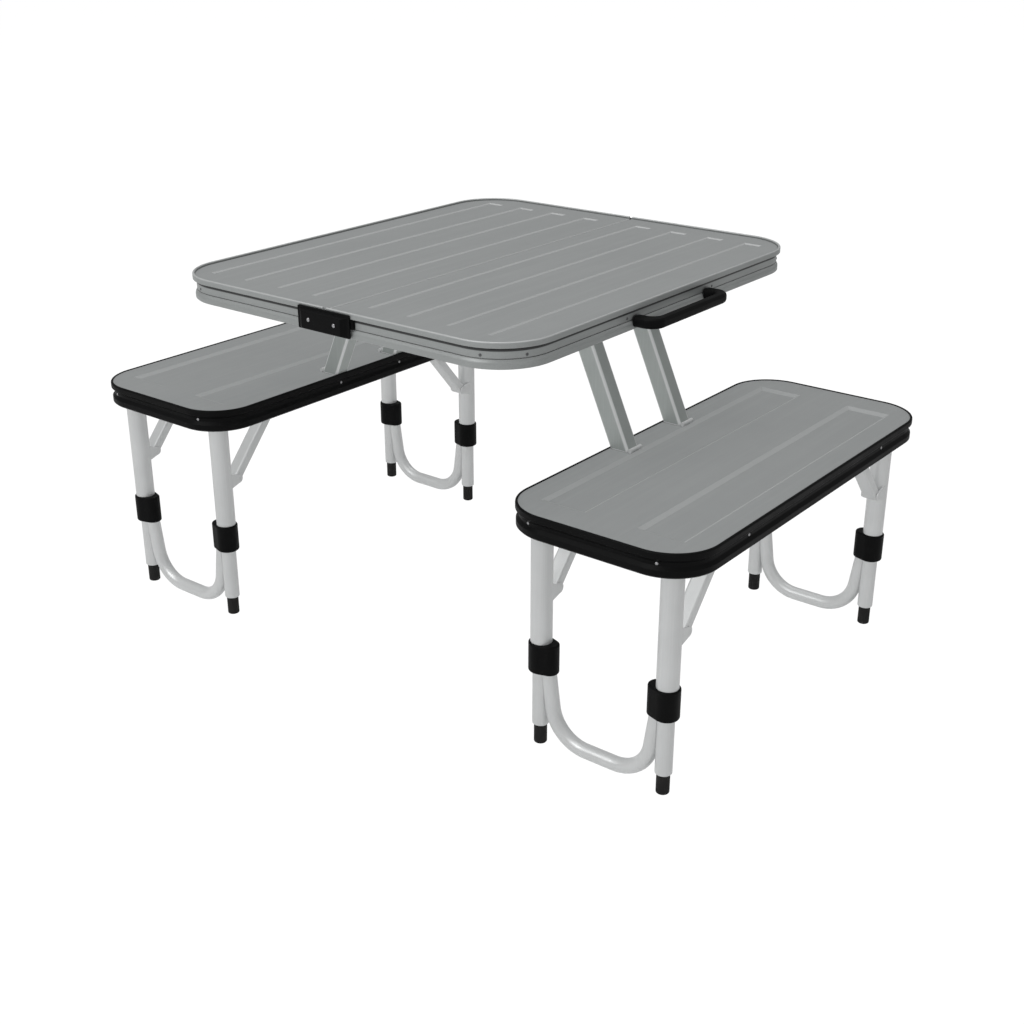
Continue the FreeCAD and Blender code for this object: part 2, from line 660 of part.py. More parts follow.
def strut_foot(y):
    """Level foot of the strut at y, with the middle knuckle of its hinge."""
    bx, bz = BASE_PIVOT
    top = FOOT_Z + FOOT_T
    sole = strut_bar(y, 0, -STRUT_END, STRUT_END).common(foot_slab(y, FOOT_Z, top))
    sole = sole.cut(box((0, BENCH_X[0] + BENCH_LIP_W + KNUCKLE_GAP), (y - BEYOND, y + BEYOND),
                        (FOOT_Z - 1, BENCH_Z + KNUCKLE_GAP)))
    plug = strut_bar(y, STRUT_WALL, -STRUT_END, STRUT_END)
    plug = plug.common(foot_slab(y, FOOT_Z, FOOT_Z + FOOT_PLUG))
    span = (y - KNUCKLE_HALF, y + KNUCKLE_HALF)
    knuckle = bar_y(KNUCKLE_R, bx, span, bz)
    web = box((bx - BASE_WEB, bx), span, (FOOT_Z, top))
    tube = strut_bar(y, 0, -STRUT_END, STRUT_END).cut(strut_bar(y, STRUT_WALL, -STRUT_END, STRUT_END))
    tube = tube.common(foot_slab(y, top, FOOT_Z + STRUT_END))
    base = fuse([sole, plug, knuckle, web]).cut(tube)
    return base.cut(bar_y(BASE_PIN_R + RUN, bx, (y - BEYOND, y + BEYOND), bz))


def strut_fittings():
    """End fittings: a cap with the pivot lug at the top, a foot with a hinge knuckle below."""
    solids = []
    for s in (-1, 1):
        solids.append(strut_head(s * STRUT_Y))
        solids.append(strut_foot(s * STRUT_Y))
    return solids


def strut_base_hinges():
    """Fixed half of the hinge at each strut foot: two knuckles, pin and tabs through the seat."""
    bx, bz = BASE_PIVOT
    gap = KNUCKLE_HALF + KNUCKLE_GAP
    end = gap + KNUCKLE_W
    solids = []
    for s in (-1, 1):
        y = s * STRUT_Y
        pieces = [bar_y(BASE_PIN_R, bx, (y - end, y + end), bz)]
        for side in (-1, 1):
            span = (y + side * gap, y + side * end)
            pieces.append(bar_y(KNUCKLE_R, bx, span, bz))
            pieces.append(box((bx, bx + BASE_TAB_T), span, (SEAT_UNDER_Z, bz)))
        solids.append(fuse(pieces))
    return solids


# ---------------------------------------------------------------- bench

def bench_sheet(hinges):
    """Grey seat sheet with two recessed panels and slots for the hinge tabs."""
    x0 = BENCH_X[0] + BENCH_LIP_W
    x1 = BENCH_X[1] - BENCH_LIP_W
    corner = BENCH_CORNER - BENCH_LIP_W
    shape = plate(x0, x1, BENCH_HALF_Y - BENCH_LIP_W, corner, corner, SEAT_UNDER_Z, SEAT_Z)
    for s in (-1, 1):
        x = BENCH_MID + s * SEAT_PANEL_X
        shape = shape.cut(recess(x, SEAT_PANEL_HALF, SEAT_FLOOR_HALF, SEAT_Z, SEAT_PANEL_DEPTH))
    for hinge in hinges:
        shape = shape.cut(hinge)
    return shape


def bench_rivet_seats():
    """Seat point and outward direction of every rivet in the bench rim."""
    seats = []
    cy = BENCH_HALF_Y - BENCH_CORNER
    r = BENCH_CORNER - BENCH_NOTCH_IN
    a = math.radians(BENCH_RIVET_ANGLE)
    for sx, x in ((-1, BENCH_X[0] + BENCH_CORNER), (1, BENCH_X[1] - BENCH_CORNER)):
        for sy in (-1, 1):
            out = V(sx * math.cos(a), sy * math.sin(a), 0)
            seats.append((V(x, sy * cy, BENCH_RIVET_Z) + out * r, out))
    for s in (-1, 1):
        outer = V(BENCH_X[1] - BENCH_NOTCH_IN, s * BENCH_RIVET_OUTER_Y, BENCH_RIVET_Z)
        inner = V(BENCH_X[0] + BENCH_NOTCH_IN, s * BENCH_RIVET_INNER_Y, BENCH_RIVET_Z)
        seats += [(outer, X_AXIS), (inner, -X_AXIS)]
    return seats


def bench_rim():
    """Black moulded bench rim with a V-shaped groove all round."""
    low, floor, ceiling, high = BENCH_NOTCH_Z
    bottom = BENCH_Z - BENCH_H
    r = BENCH_LIP_ROUND
    mid = r * (1 - math.sqrt(0.5))
    outline = [(0, high), (0, BENCH_Z - r), ((mid, BENCH_Z - mid), (r, BENCH_Z)),
               (BENCH_LIP_W, BENCH_Z), (BENCH_LIP_W, SEAT_UNDER_Z), (BENCH_LEDGE_IN, SEAT_UNDER_Z),
               (BENCH_LEDGE_IN, BENCH_LEDGE_Z), (BENCH_WALL_IN, BENCH_LEDGE_Z),
               (BENCH_WALL_IN, bottom), (BENCH_FOOT_IN, bottom), (BENCH_FLANK_IN, BENCH_FLANK_Z),
               (BENCH_FLANK_IN, low), (BENCH_NOTCH_IN, floor), (BENCH_NOTCH_IN, ceiling)]
    shape = rim(outline, BENCH_X[0], BENCH_X[1], BENCH_HALF_Y, BENCH_CORNER, True)
    for at, out in bench_rivet_seats():
        shape = shape.cut(cyl(BENCH_RIVET_SHANK_R + RUN, at - out * BENCH_LEDGE_IN, at + out))
    return shape


def bench_rivets():
    return [rivet(BENCH_RIVET_R, BENCH_RIVET_SHANK_R, BENCH_RIVET_TAIL, at, out)
            for at, out in bench_rivet_seats()]


def leg_xs():
    return (BENCH_MID - LEG_X, BENCH_MID + LEG_X)


def brace_guides():
    """Shallow guide walls under the seat, one pair for each row of braces."""
    solids = []
    for x in leg_xs():
        for side in (-1, 1):
            span = (x + side * GUIDE_IN, x + side * (GUIDE_IN + GUIDE_T))
            solids.append(box(span, (-GUIDE_HALF_Y, GUIDE_HALF_Y), (GUIDE_Z, SEAT_UNDER_Z)))
    return solids


def ear_taper(ear_x, y):
    """Tapered lower edge of a leg bracket ear."""
    x0 = min(ear_x)
    low = LEG_PIVOT_Z - EAR_TAPER_Z
    face = polygon([V(x0, y - EAR_HALF_Y, LEG_PIVOT_Z), V(x0, y - EAR_TAPER_Y, low),
                    V(x0, y + EAR_TAPER_Y, low), V(x0, y + EAR_HALF_Y, LEG_PIVOT_Z)])
    return face.extrude(V(EAR_T, 0, 0))


def leg_brackets():
    """L-shaped ears under the seat that hold the leg pivots."""
    solids = []
    for x in leg_xs():
        for end in (-1, 1):
            y = end * LEG_Y
            for side in (-1, 1):
                ear_x = (x + side * EAR_IN, x + side * (EAR_IN + EAR_T))
                upright = box(ear_x, (y - EAR_HALF_Y, y + EAR_HALF_Y), (LEG_PIVOT_Z, SEAT_UNDER_Z))
                nose = bar_x(EAR_NOSE_R, ear_x, y, LEG_PIVOT_Z)
                foot = box((ear_x[0], x + side * (EAR_IN + EAR_FOOT)), (y - EAR_HALF_Y, y + EAR_HALF_Y),
                           (SEAT_UNDER_Z - EAR_FOOT_T, SEAT_UNDER_Z))
                shape = fuse([upright, nose, ear_taper(ear_x, y), foot])
                hole = bar_x(LEG_PIN_R, (x - BEYOND, x + BEYOND), y, LEG_PIVOT_Z)
                solids.append(shape.cut(hole))
    return solids


def leg_pivot_pins():
    """Pivot pins through the leg tops, with a flat head outside each bracket."""
    half = EAR_IN + EAR_T
    head = LEG_HEAD_T
    solids = []
    for x in leg_xs():
        for end in (-1, 1):
            y = end * LEG_Y
            pieces = [bar_x(LEG_PIN_R, (x - half - head, x + half + head), y, LEG_PIVOT_Z)]
            for side in (-1, 1):
                start = x + side * half
                pieces.append(bar_x(LEG_PIN_R + LEG_HEAD_RIM, (start, start + side * head), y, LEG_PIVOT_Z))
            solids.append(fuse(pieces))
    return solids


# ---------------------------------------------------------------- leg frames

def collar_body(x, y, toward):
    """Collar body: two round ends joined by their common tangents."""
    z0, z1 = COLLAR_Z
    a = math.acos((COLLAR_R - COLLAR_LOBE_R) / COLLAR_LOBE_X)
    c1 = V(x, y, z0)
    c2 = V(x + toward * COLLAR_LOBE_X, y, z0)

    def point(c, r, angle):
        return c + V(toward * r * math.cos(angle), r * math.sin(angle), 0)

    edges = [Part.Arc(point(c1, COLLAR_R, a), point(c1, COLLAR_R, math.pi),
                      point(c1, COLLAR_R, -a)).toShape(),
             Part.makeLine(point(c1, COLLAR_R, -a), point(c2, COLLAR_LOBE_R, -a)),
             Part.Arc(point(c2, COLLAR_LOBE_R, -a), point(c2, COLLAR_LOBE_R, 0),
                      point(c2, COLLAR_LOBE_R, a)).toShape(),
             Part.makeLine(point(c2, COLLAR_LOBE_R, a), point(c1, COLLAR_R, a))]
    body = Part.Face(Part.Wire(edges)).extrude(V(0, 0, z1 - z0))
    ends = [e for e in body.Edges if e.BoundBox.ZLength < 0.01]
    return body.makeFillet(COLLAR_ROUND, ends)


def stretcher_bar(y, r):
    """Round bar along the U-shaped centre line of the stretcher."""
    low = STRETCHER_BEND_Z - STRETCHER_BEND
    lean = STRETCHER_LEAN
    x_bend = STRETCHER_BEND_X - STRETCHER_BEND * math.cos(lean)
    z_bend = STRETCHER_BEND_Z - STRETCHER_BEND * math.sin(lean)
    rise = STRETCHER_TOP_Z - z_bend
    x_top = x_bend - rise * math.tan(lean)
    half = (math.pi / 2 - lean) / 2
    x_mid = STRETCHER_BEND_X - STRETCHER_BEND * math.cos(lean + half)
    z_mid = STRETCHER_BEND_Z - STRETCHER_BEND * math.sin(lean + half)

    def at(side, x, z):
        """Point x inboard of the leg on that side of the bench middle."""
        return V(BENCH_MID + side * (LEG_X - x), y, z)

    def bend(side):
        points = [at(side, x_bend, z_bend), at(side, x_mid, z_mid), at(side, STRETCHER_BEND_X, low)]
        if side > 0:
            points.reverse()
        return Part.Arc(points[0], points[1], points[2]).toShape()

    edges = [Part.makeLine(at(-1, x_top, STRETCHER_TOP_Z), at(-1, x_bend, z_bend)),
             bend(-1),
             Part.makeLine(at(-1, STRETCHER_BEND_X, low), at(1, STRETCHER_BEND_X, low)),
             bend(1),
             Part.makeLine(at(1, x_bend, z_bend), at(1, x_top, STRETCHER_TOP_Z))]
    path = Part.Wire(edges)
    start = at(-1, x_top, STRETCHER_TOP_Z)
    along = at(-1, x_bend, z_bend) - start
    ring = Part.Wire(Part.makeCircle(r, start, along))
    return path.makePipeShell([ring], True, False)


def leg_stretcher(y):
    """U-shaped tube, its upper ends coped round the lower legs."""
    tube = stretcher_bar(y, STRETCHER_R)
    bore = stretcher_bar(y, STRETCHER_R - STRETCHER_WALL)
    tube = tube.cut(bore)
    for x in leg_xs():
        tube = tube.cut(cyl(COPE_R, V(x, y, -1), V(x, y, STRETCHER_TOP_Z + 5)))
    return tube


def leg_collars(y):
    """Moulded collars that clamp the upper tube and the stretcher and guide the lower leg."""
    z0, z1 = COLLAR_Z
    bar = stretcher_bar(y, STRETCHER_R)
    solids = []
    for x, toward in zip(leg_xs(), (1, -1)):
        shape = collar_body(x, y, toward)
        shape = shape.cut(cyl(LEG_R, V(x, y, COLLAR_SEAT_Z), V(x, y, z1 + 1)))
        shape = shape.cut(cyl(LOWER_R + RUN, V(x, y, z0 - 1), V(x, y, COLLAR_SEAT_Z + 1)))
        solids.append(shape.cut(bar))
    return solids


def upper_legs(end):
    """Upper leg tubes with a pivot hole at the top and a clevis for the brace."""
    y = end * LEG_Y
    py, pz = end * BRACE_LOW[0], BRACE_LOW[1]
    solids = []
    for x in leg_xs():
        outer = cyl(LEG_R, V(x, y, COLLAR_SEAT_Z), V(x, y, LEG_TOP_Z))
        bore = cyl(LEG_R - LEG_WALL, V(x, y, COLLAR_SEAT_Z - 1), V(x, y, LEG_TOP_Z - LEG_WALL))
        ears = []
        for side in (-1, 1):
            span = (x + side * CLEVIS_IN, x + side * CLEVIS_OUT)
            plate_x = min(span)
            face = polygon([V(plate_x, y, pz + CLEVIS_ROOT), V(plate_x, py, pz + CLEVIS_R),
                            V(plate_x, py, pz - CLEVIS_R), V(plate_x, y, pz - CLEVIS_ROOT)])
            ears.append(face.extrude(V(CLEVIS_OUT - CLEVIS_IN, 0, 0)))
            ears.append(bar_x(CLEVIS_R, span, py, pz))
        shape = fuse([outer] + ears).cut(bore)
        reach = (x - BEYOND, x + BEYOND)
        shape = shape.cut(bar_x(BRACE_PIN_R + RUN, reach, py, pz))
        solids.append(shape.cut(bar_x(LEG_PIN_R + RUN, reach, y, LEG_PIVOT_Z)))
    return solids


def braces(end):
    """Flat rounded braces with a pin through each end."""
    low = V(0, end * BRACE_LOW[0], BRACE_LOW[1])
    high = V(0, end * BRACE_HIGH[0], BRACE_HIGH[1])
    along = high - low
    length = along.Length
    along.normalize()
    across = X_AXIS.cross(along)
    half_t = BRACE_T / 2
    half_w = BRACE_W / 2
    solids = []
    for x in leg_xs():
        turn = FreeCAD.Rotation(X_AXIS, across, along)
        flat = Part.Face(rounded_rect(-half_w, half_w, -half_t, half_t, BRACE_ROUND, BRACE_ROUND, 0))
        body = flat.extrude(V(0, 0, length))
        body.Placement = FreeCAD.Placement(low + V(x, 0, 0), turn)
        ends = [bar_x(half_t, (x - half_w, x + half_w), p.y, p.z) for p in (low, high)]
        body = fuse([body] + ends)
        for p in (low, high):
            body = body.cut(bar_x(BRACE_PIN_R, (x - BEYOND, x + BEYOND), p.y, p.z))
        solids.append(body)
        solids.append(bar_x(BRACE_PIN_R, (x - CLEVIS_OUT, x + CLEVIS_OUT), low.y, low.z))
        pin_half = GUIDE_IN - GUIDE_PLAY
        solids.append(bar_x(BRACE_PIN_R, (x - pin_half, x + pin_half), high.y, high.z))
    return solids


def lower_legs(y):
    """Lower leg tubes that slide in the collars."""
    solids = []
    for x in leg_xs():
        tube = cyl(LOWER_R, V(x, y, LOWER_Z[0]), V(x, y, LOWER_Z[1]))
        lower_edge = [e for e in tube.Edges if abs(e.CenterOfMass.z - LOWER_Z[0]) < 0.01
                      and e.BoundBox.ZLength < 0.01]
        tube = tube.makeFillet(LOWER_ROUND, lower_edge)
        solids.append(tube.cut(cyl(LOWER_BORE_R, V(x, y, 0), V(x, y, LOWER_Z[1] + 1))))
    return solids


def feet(y):
    """Rubber feet plugged into the lower legs."""
    solids = []
    for x in leg_xs():
        foot = cyl(FOOT_R, V(x, y, 0), V(x, y, FOOT_TOP_Z))
        sole = [e for e in foot.Edges if abs(e.CenterOfMass.z) < 0.01 and e.BoundBox.ZLength < 0.01]
        solids.append(foot.makeFillet(SOLE_ROUND, sole))
    return solids


# ---------------------------------------------------------------- build

export("hinge_block_front", [hinge_block(-1)])
export("hinge_block_back", [hinge_block(1)])
export("hinge_pins", hinge_pins())

half_rim = table_rim()
export_pair("table_top", [table_sheet()])
export_pair("table_rim", [half_rim])
export_pair("seam_rail", [seam_rail(half_rim)])
export_pair("hinge_plugs", hinge_plugs())
export_pair("rim_rivets", rim_rivets())
export_pair("strut_channels", strut_channels())
export_pair("strut_pivot_pins", strut_pivot_pins())
export("handle", [handle()])

export_pair("struts", struts())
export_pair("strut_fittings", strut_fittings())

base_hinges = strut_base_hinges()
export_pair("strut_base_hinges", base_hinges)
export_pair("bench_top", [bench_sheet(base_hinges)])
export_pair("bench_rim", [bench_rim()])
export_pair("bench_rivets", bench_rivets())
export_pair("brace_guides", brace_guides())
export_pair("leg_brackets", leg_brackets())
export_pair("leg_pivot_pins", leg_pivot_pins())

for end, tail in ((-1, "_front"), (1, "_back")):
    leg_y = end * LEG_Y
    export_pair("upper_legs", upper_legs(end), tail)
    export_pair("leg_collars", leg_collars(leg_y), tail)
    export_pair("leg_stretcher", [leg_stretcher(leg_y)], tail)
    export_pair("braces", braces(end), tail)
    export_pair("lower_legs", lower_legs(leg_y), tail)
    export_pair("feet", feet(leg_y), tail)
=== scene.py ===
import json
import math

import bpy
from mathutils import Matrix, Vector

# Looks of the folding picnic table: procedural materials on every part of the frame, a plain
# pale floor, soft studio light and the camera. Lengths are in metres.

MILLIMETRE = 0.001

# Colours are linear RGB
SHEET_GREY = (0.280, 0.290, 0.290)
SHEET_PALE = (0.335, 0.345, 0.345)
SHEET_DEEP = (0.262, 0.272, 0.272)
# Painted highlight along the sheet's sharp edges
SHEET_EDGE_HIGHLIGHT = (0.440, 0.450, 0.450)
# Painted highlight on faces of the sheet that do not face up, such as the panel walls
SHEET_WALL_HIGHLIGHT = (0.480, 0.490, 0.490)
RIM_ALUMINIUM = (0.315, 0.330, 0.327)
RIM_BRIGHT = (0.56, 0.57, 0.57)
RIM_DULL = (0.275, 0.290, 0.287)
TUBE_SILVER = (0.62, 0.63, 0.63)
TUBE_BRIGHT = (0.80, 0.80, 0.80)
TUBE_DULL = (0.54, 0.55, 0.55)
STRUT_SILVER = (0.350, 0.375, 0.365)
STRUT_BRIGHT = (0.72, 0.73, 0.73)
STRUT_DULL = (0.310, 0.335, 0.325)
PLASTIC_BLACK = (0.0028, 0.0029, 0.0030)
PLASTIC_WORN = (0.018, 0.019, 0.020)
PLASTIC_DUSTY = (0.0046, 0.0047, 0.0049)
STEEL_GREY = (0.43, 0.43, 0.44)
STEEL_BRIGHT = (0.72, 0.72, 0.73)
STEEL_DULL = (0.27, 0.27, 0.28)
RIVET_DARK = (0.110, 0.112, 0.114)
RIVET_DARK_BRIGHT = (0.30, 0.30, 0.31)
RIVET_DARK_DULL = (0.060, 0.061, 0.062)
RUBBER_BLACK = (0.010, 0.010, 0.010)
RUBBER_WORN = (0.050, 0.048, 0.046)
RUBBER_DUSTY = (0.022, 0.021, 0.020)
# Painted shade, laid in grooves and corners and in a band under the rim's lip
PAINTED_SHADE = (0.010, 0.010, 0.010)
FLOOR_PALE = (0.86, 0.86, 0.86)

# Heights on the rim of the table where a painted highlight or a painted shade starts and where it is full,
# or the reverse
LIP_HIGHLIGHT_HEIGHTS = (0.6630, 0.6645)
# Painted shade band on the rim just under the lip: where it starts, then where it ends
UNDER_LIP_SHADE_STARTS = (0.6495, 0.6505)
UNDER_LIP_SHADE_ENDS = (0.6555, 0.6562)

# How much finer the drawn lines of a metal are across each axis than the noise they come from
DRAWN_ALONG_Y = (900.0, 6.0, 900.0)
DRAWN_ALONG_Z = (900.0, 900.0, 6.0)
TURNED = (420.0, 420.0, 420.0)
SHEET_ROLLING = (90.0, 3.0, 90.0)

# Sockets of the colour mix node, which have the same names for numbers and for colours
MIX_SHARE = 0
MIX_COLOUR_A = 6
MIX_COLOUR_B = 7
MIX_COLOUR_OUT = 2
SMOOTHING_RAYS = 4              # rays that round off an edge or feel for a groove

# Camera
CAMERA_PLACE = (1.5168, -1.9014, 1.2397)
CAMERA_TURN = (66.518, 0.0, 37.958)
CAMERA_LENS = 50.0
CAMERA_SENSOR = 36.0

# Light
KEY_PLACE = (-1.6, -6.4, 5.8)
KEY_SIZE = 4.4
KEY_POWER = 300.0
TOP_PLACE = (-0.4, 0.4, 7.0)
TOP_SIZE = 5.0
TOP_POWER = 190.0
FILL_PLACE = (3.0, -0.8, 1.6)
FILL_SIZE = 2.4
FILL_POWER = 8.0
SKY_STRENGTH = 0.33             # light of the surroundings on the table
LIGHT_AIM = (0.0, 0.0, 0.4)
FLOOR_SIZE = 60.0
FLOOR_DROP = 0.5 * MILLIMETRE   # the floor lies this far below the feet
FLOOR_GLOW = 0.90               # share of even white in the floor as the camera sees it
FLOOR_WHITE = 1.08              # strength of that white


# ---------------------------------------------------------------- node helpers

class Nodes:
    """A new material's node tree, with short calls that add a node and link its inputs."""

    def __init__(self, name):
        self.material = bpy.data.materials.new(name)
        self.material.use_nodes = True
        self.tree = self.material.node_tree
        self.tree.nodes.clear()
        self.place = self.add("ShaderNodeTexCoord").outputs["Object"]

    def add(self, kind, **settings):
        node = self.tree.nodes.new(kind)
        for key, value in settings.items():
            setattr(node, key, value)
        return node

    def feed(self, node, name, value):
        """Links value to the node's input, or writes it there when it is a plain number or colour."""
        socket = node.inputs[name]
        if isinstance(value, bpy.types.NodeSocket):
            self.tree.links.new(value, socket)
        elif isinstance(value, tuple) and len(value) == 3 and socket.type == "RGBA":
            socket.default_value = value + (1.0,)
        else:
            socket.default_value = value

    def stretched(self, scale):
        """Object position multiplied by a different factor on each axis."""
        node = self.add("ShaderNodeMapping")
        self.feed(node, "Vector", self.place)
        self.feed(node, "Scale", scale)
        return node.outputs["Vector"]

    def noise(self, scale, detail=2.0, rough=0.5, vector=None):
        node = self.add("ShaderNodeTexNoise")
        self.feed(node, "Vector", vector or self.place)
        self.feed(node, "Scale", scale)
        self.feed(node, "Detail", detail)
        self.feed(node, "Roughness", rough)
        return node.outputs["Fac"]

    def cells(self, scale):
        node = self.add("ShaderNodeTexVoronoi", feature="SMOOTH_F1")
        self.feed(node, "Vector", self.place)
        self.feed(node, "Scale", scale)
        return node.outputs["Distance"]

    def spread(self, value, low, high, to_low=0.0, to_high=1.0):
        """Maps value from (low, high) to (to_low, to_high), clamped."""
        node = self.add("ShaderNodeMapRange")
        self.feed(node, "Value", value)
        self.feed(node, "From Min", low)
        self.feed(node, "From Max", high)
        self.feed(node, "To Min", to_low)
        self.feed(node, "To Max", to_high)
        return node.outputs["Result"]

    def math(self, operation, *values):
        node = self.add("ShaderNodeMath", operation=operation)
        for k, value in enumerate(values):
            self.feed(node, k, value)
        return node.outputs["Value"]

    def times(self, a, b):
        return self.math("MULTIPLY", a, b)

    def plus(self, a, b):
        return self.math("ADD", a, b)

    def blend(self, share, a, b):
        """Colour a with this share of colour b over it."""
        node = self.add("ShaderNodeMix", data_type="RGBA")
        self.feed(node, MIX_SHARE, share)
        self.feed(node, MIX_COLOUR_A, a)
        self.feed(node, MIX_COLOUR_B, b)
        return node.outputs[MIX_COLOUR_OUT]

    def rounded_normal(self, radius):
        """Surface normal with every sharp edge rounded to radius."""
        node = self.add("ShaderNodeBevel", samples=SMOOTHING_RAYS)
        self.feed(node, "Radius", radius)
        return node.outputs["Normal"]

    def part(self, vector, letter):
        """The X, Y or Z part of a vector."""
        split = self.add("ShaderNodeSeparateXYZ")
        self.feed(split, "Vector", vector)
        return split.outputs[letter]

    def normal_part(self, letter):
        return self.part(self.add("ShaderNodeNewGeometry").outputs["Normal"], letter)

    def place_part(self, letter):
        return self.part(self.place, letter)

    def edges(self, rounded, low=0.02, high=0.16):
        """Share of edge at this point, from the angle between the rounded and the true normal."""
        true = self.add("ShaderNodeNewGeometry").outputs["Normal"]
        dot = self.add("ShaderNodeVectorMath", operation="DOT_PRODUCT")
        self.feed(dot, 0, rounded)
        self.feed(dot, 1, true)
        away = self.math("SUBTRACT", 1.0, dot.outputs["Value"])
        return self.spread(away, low, high)

    def crevice(self, reach, low=0.25, high=0.80):
        """Share of painted shade: 1 deep in a groove or a corner, 0 in the open; reach is how far the walls
        count.
        """
        node = self.add("ShaderNodeAmbientOcclusion", samples=SMOOTHING_RAYS)
        self.feed(node, "Distance", reach)
        return self.spread(node.outputs["AO"], low, high, 1.0, 0.0)

    def bump(self, height, depth, normal):
        node = self.add("ShaderNodeBump")
        self.feed(node, "Height", height)
        self.feed(node, "Strength", 1.0)
        self.feed(node, "Distance", depth)
        self.feed(node, "Normal", normal)
        return node.outputs["Normal"]

    def finish(self, colour, rough, normal, metal=0.0, coat=0.0, specular=0.5):
        shader = self.add("ShaderNodeBsdfPrincipled")
        self.feed(shader, "Base Color", colour)
        self.feed(shader, "Roughness", rough)
        self.feed(shader, "Metallic", metal)
        self.feed(shader, "Normal", normal)
        self.feed(shader, "Coat Weight", coat)
        self.feed(shader, "Specular IOR Level", specular)
        output = self.add("ShaderNodeOutputMaterial")
        self.tree.links.new(shader.outputs["BSDF"], output.inputs["Surface"])
        return self.material


# ---------------------------------------------------------------- materials

def pebbled_sheet(name):
    """Matte grey sheet: fine pebbled skin, faint rolling streaks, painted highlights on sharp edges and on
    panel walls, painted shade in grooves.
    """
    n = Nodes(name)
    rounded = n.rounded_normal(1.1 * MILLIMETRE)
    cloud = n.noise(scale=5.0, detail=3.0, rough=0.55)
    streak = n.noise(scale=1.0, detail=4.0, rough=0.6, vector=n.stretched(SHEET_ROLLING))
    speck = n.noise(scale=1700.0, detail=1.0, rough=0.6)
    pebble = n.cells(scale=620.0)
    # Painted highlight: the less a face of the sheet faces up, the lighter it is made
    wall_highlight = n.spread(n.normal_part("Z"), low=0.75, high=0.99, to_low=0.9, to_high=0.0)
    colour = n.blend(n.spread(cloud, low=0.35, high=0.65, to_high=0.6), SHEET_GREY, SHEET_DEEP)
    colour = n.blend(n.spread(streak, low=0.45, high=0.75, to_high=0.25), colour, SHEET_PALE)
    colour = n.blend(n.spread(speck, low=0.60, high=0.78, to_high=0.35), colour, SHEET_PALE)
    colour = n.blend(n.spread(pebble, low=0.55, high=0.95, to_high=0.30), colour, SHEET_DEEP)
    colour = n.blend(wall_highlight, colour, SHEET_WALL_HIGHLIGHT)
    # Painted highlight along the sharp edges of the sheet, such as the panel edges
    colour = n.blend(n.times(n.edges(rounded), 0.5), colour, SHEET_EDGE_HIGHLIGHT)
    # Painted shade in the grooves and corners of the sheet
    colour = n.blend(n.times(n.crevice(reach=2.5 * MILLIMETRE), 0.6), colour, PAINTED_SHADE)
    rough = n.spread(n.plus(cloud, n.times(speck, 0.4)), low=0.4, high=1.0, to_low=0.52, to_high=0.66)
    height = n.plus(n.times(pebble, 0.7), n.times(speck, 0.3))
    normal = n.bump(height, depth=0.10 * MILLIMETRE, normal=rounded)
    return n.finish(colour, rough, normal, specular=0.25)


def rim_highlight_and_shade(n, colour, bright):
    """Adds the painted highlight on the lip's top, painted shade in the grooves and a painted shade line
    under the lip.
    """
    height = n.place_part("Z")
    # Painted highlight on the rounded top of the lip
    lip = n.spread(height, *LIP_HIGHLIGHT_HEIGHTS, to_high=0.6)
    # Painted shade: a dark band on the rim just under the lip, standing in for the shade of the slot there
    under_lip_shade = n.times(n.spread(height, *UNDER_LIP_SHADE_STARTS), n.spread(height, *UNDER_LIP_SHADE_ENDS, to_low=1.0, to_high=0.0))
    colour = n.blend(lip, colour, bright)
    # Painted shade in the rim's grooves and under its overhang
    colour = n.blend(n.times(n.crevice(reach=8.0 * MILLIMETRE), 0.95), colour, PAINTED_SHADE)
    return n.blend(n.times(under_lip_shade, 0.92), colour, PAINTED_SHADE)


def satin_metal(name, tones, drawn_along, metal, rough, worn, marks=None):
    """Satin metal in three tones (base, bright, dull): drawn lines, cloudy sheen, worn edges."""
    base, bright, dull = tones
    n = Nodes(name)
    rounded = n.rounded_normal(0.9 * MILLIMETRE)
    cloud = n.noise(scale=9.0, detail=3.0, rough=0.6)
    drawn = n.noise(scale=1.0, detail=3.0, rough=0.65, vector=n.stretched(drawn_along))
    scuff = n.noise(scale=140.0, detail=4.0, rough=0.7)
    grain = n.noise(scale=2600.0, detail=1.0, rough=0.5)
    colour = n.blend(n.spread(cloud, low=0.35, high=0.68, to_high=0.55), base, dull)
    colour = n.blend(n.spread(drawn, low=0.48, high=0.72, to_high=0.20), colour, bright)
    colour = n.blend(n.spread(scuff, low=0.62, high=0.80, to_high=0.25), colour, dull)
    colour = n.blend(n.times(n.edges(rounded), worn), colour, bright)
    # For the rim, marks adds a painted highlight on the lip and painted shade in the grooves and under the
    # lip
    if marks:
        colour = marks(n, colour, bright)
    sheen = n.plus(n.times(drawn, 0.6), n.times(cloud, 0.4))
    roughness = n.spread(sheen, low=0.30, high=0.70, to_low=rough - 0.07, to_high=rough + 0.09)
    height = n.plus(n.times(drawn, 0.6), n.times(grain, 0.4))
    normal = n.bump(height, depth=0.035 * MILLIMETRE, normal=rounded)
    return n.finish(colour, roughness, normal, metal=metal)


